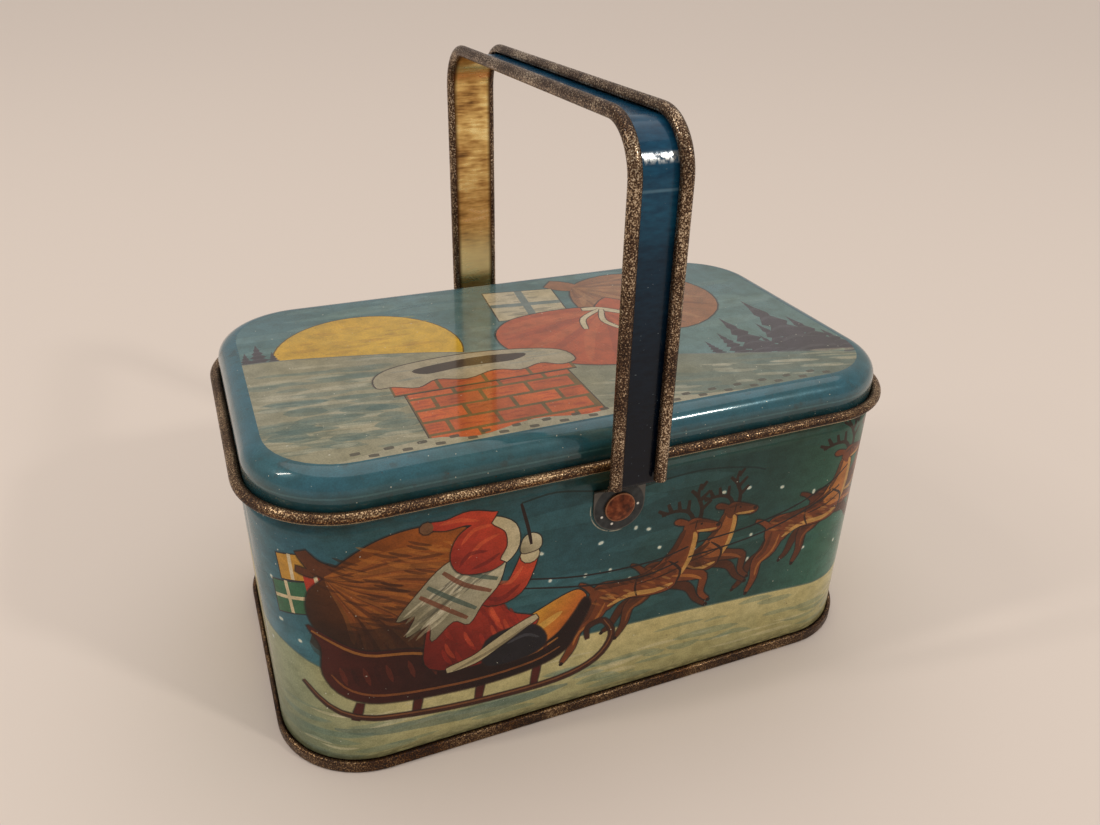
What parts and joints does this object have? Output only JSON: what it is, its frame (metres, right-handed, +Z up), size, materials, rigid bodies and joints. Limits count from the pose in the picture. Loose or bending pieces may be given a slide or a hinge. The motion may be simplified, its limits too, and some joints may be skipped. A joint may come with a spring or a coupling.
{
  "type": "lithographed tin",
  "caption": "Small rounded-rectangle printed tin with a slip-in lid, rolled rim and a riveted swing handle with curled edges.",
  "frame": {"origin": "middle of the base, on the surface that the tin stands on", "axes": "+X along the tin, the front faces -Y, +Z up with the handle upright"},
  "size_m": [0.1082, 0.075, 0.0977],
  "materials": {
    "printed_wall": "glossy lithographed tinplate, worn at the edges",
    "bare_tinplate": "tarnished bare tinplate with rust specks",
    "printed_lid": "glossy lithographed tinplate",
    "handle_lacquer": "glossy dark blue lacquer, gold lacquer inside",
    "rivet_copper": "dull brown copper-plated steel"
  },
  "bodies": {
    "body": {"body_wall": "printed_wall", "bottom_panel": "bare_tinplate", "front_rivet": "rivet_copper", "back_rivet": "rivet_copper"},
    "lid": {"lid": "printed_lid"},
    "handle": {"handle": "handle_lacquer"}
  },
  "joints": [
    {"name": "handle_swing", "type": "hinge", "parent": "body", "child": "handle", "pos_m": [-0.0007, 0, 0.0399], "axis": [0, 1, 0], "range_deg": [-102, 102]},
    {"name": "lid_lift", "type": "slide", "parent": "body", "child": "lid", "axis": [0, 0, 1], "range_m": [0, 0.02]}
  ]
}
